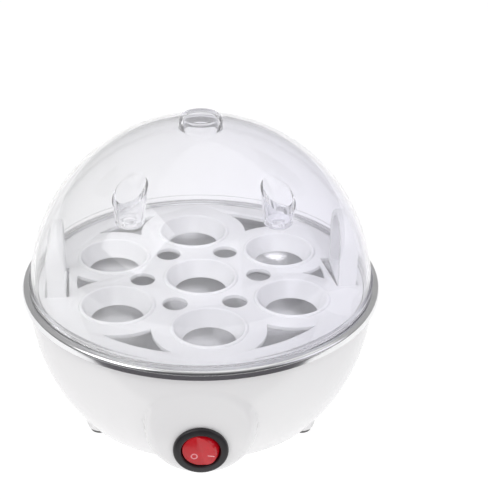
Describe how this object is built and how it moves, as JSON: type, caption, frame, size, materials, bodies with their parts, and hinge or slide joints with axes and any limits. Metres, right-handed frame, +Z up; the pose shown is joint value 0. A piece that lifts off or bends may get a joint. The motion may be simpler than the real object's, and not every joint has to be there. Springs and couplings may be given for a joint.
{
  "type": "egg cooker",
  "caption": "Electric egg cooker: white base with steel water pan, lift-out egg tray with round seats, clear domed lid with steam vents and a red round rocker switch.",
  "frame": {"origin": "on the table, below the middle of the base", "axes": "+Z up; -Y towards the switch; +Y towards the cord gland; +X to the right of someone facing the switch"},
  "size_m": [0.164, 0.164, 0.146],
  "materials": {
    "clear_plastic": "clear polished moulded plastic",
    "tray_plastic": "white moulded plastic, lightly glossy",
    "polished_steel": "polished stainless steel",
    "shell_plastic": "glossy white moulded plastic",
    "plate_plastic": "fine-textured white moulded plastic",
    "zinc_steel": "zinc-plated steel",
    "foot_rubber": "soft black rubber",
    "gland_rubber": "moulded dark grey rubber",
    "block_plastic": "ivory heat-resistant plastic",
    "brass_parts": "stamped and turned brass",
    "switch_plastic": "satin black plastic",
    "red_plastic": "glossy red translucent plastic",
    "spring_steel": "spring steel wire",
    "lamp_glass": "clear glass with an orange glow lamp",
    "mica_sheet": "pressed mica sheet",
    "heating_alloy": "heating ribbon, lightly oxidised",
    "ceramic_parts": "unglazed white ceramic",
    "thermostat_plastic": "black phenolic plastic",
    "aluminium_cap": "pressed aluminium",
    "fuse_metal": "tinned metal case",
    "glass_fibre": "braided glass-fibre sleeve",
    "lead_brown": "brown silicone insulation",
    "lead_black": "black silicone insulation",
    "lead_white": "white silicone insulation",
    "lead_blue": "blue silicone insulation",
    "lead_grey": "grey silicone insulation",
    "lead_green": "green and yellow insulation",
    "sleeve_plastic": "translucent white nylon"
  },
  "bodies": {
    "base": {"heating_pan": "polished_steel", "base_shell": "shell_plastic", "base_plate": "plate_plastic", "cover_screws": "zinc_steel", "feet_pads": "foot_rubber", "cord_gland": "gland_rubber", "terminal_block": "block_plastic", "block_barrels": "brass_parts", "block_screws": "zinc_steel", "switch_housing": "switch_plastic", "switch_terminals": "brass_parts", "neon_lamp": "lamp_glass", "heater_mica_upper": "mica_sheet", "heater_ribbon": "heating_alloy", "heater_mica_lower": "mica_sheet", "heater_clamp_plate": "zinc_steel", "clamp_studs": "zinc_steel", "clamp_washers": "zinc_steel", "clamp_nuts": "zinc_steel", "heater_terminals": "brass_parts", "heater_insulators": "ceramic_parts", "thermostat_body": "thermostat_plastic", "thermostat_cap": "aluminium_cap", "thermostat_flange": "aluminium_cap", "thermostat_terminals": "brass_parts", "thermostat_studs": "zinc_steel", "thermostat_nuts": "zinc_steel", "thermal_fuse": "fuse_metal", "fuse_sleeve": "glass_fibre", "fuse_clip": "aluminium_cap", "pan_brackets": "zinc_steel", "bracket_screws": "zinc_steel", "earth_tag": "brass_parts", "lead_line": "lead_brown", "lead_switched": "lead_black", "lead_fused": "lead_white", "lead_neutral": "lead_blue", "lead_lamp": "lead_grey", "lead_earth": "lead_green", "crimp_sleeves": "sleeve_plastic", "butt_crimps": "zinc_steel"},
    "tray": {"egg_tray": "tray_plastic"},
    "lid": {"lid_dome": "clear_plastic"},
    "rocker": {"switch_rocker": "red_plastic", "rocker_plunger": "brass_parts", "plunger_spring": "spring_steel"},
    "contact": {"contact_lever": "brass_parts"}
  },
  "joints": [
    {"name": "tray_lift", "type": "slide", "parent": "base", "child": "tray", "axis": [0, 0, 1], "range_m": [0, 0.06]},
    {"name": "lid_lift", "type": "slide", "parent": "tray", "child": "lid", "axis": [0, 0, 1], "range_m": [0, 0.1]},
    {"name": "rocker_tilt", "type": "hinge", "parent": "base", "child": "rocker", "pos_m": [0, -0.075, 0.02307], "axis": [-0.225, -0.068, 0.972], "range_deg": [0, 22]},
    {"name": "contact_tilt", "type": "hinge", "parent": "base", "child": "contact", "pos_m": [0, -0.06602, 0.0237], "axis": [-0.225, -0.068, 0.972], "range_deg": [-16, 0]}
  ],
  "couplings": [
    {"joint": "contact_tilt", "follows": "rocker_tilt", "ratio": -0.72727}
  ]
}
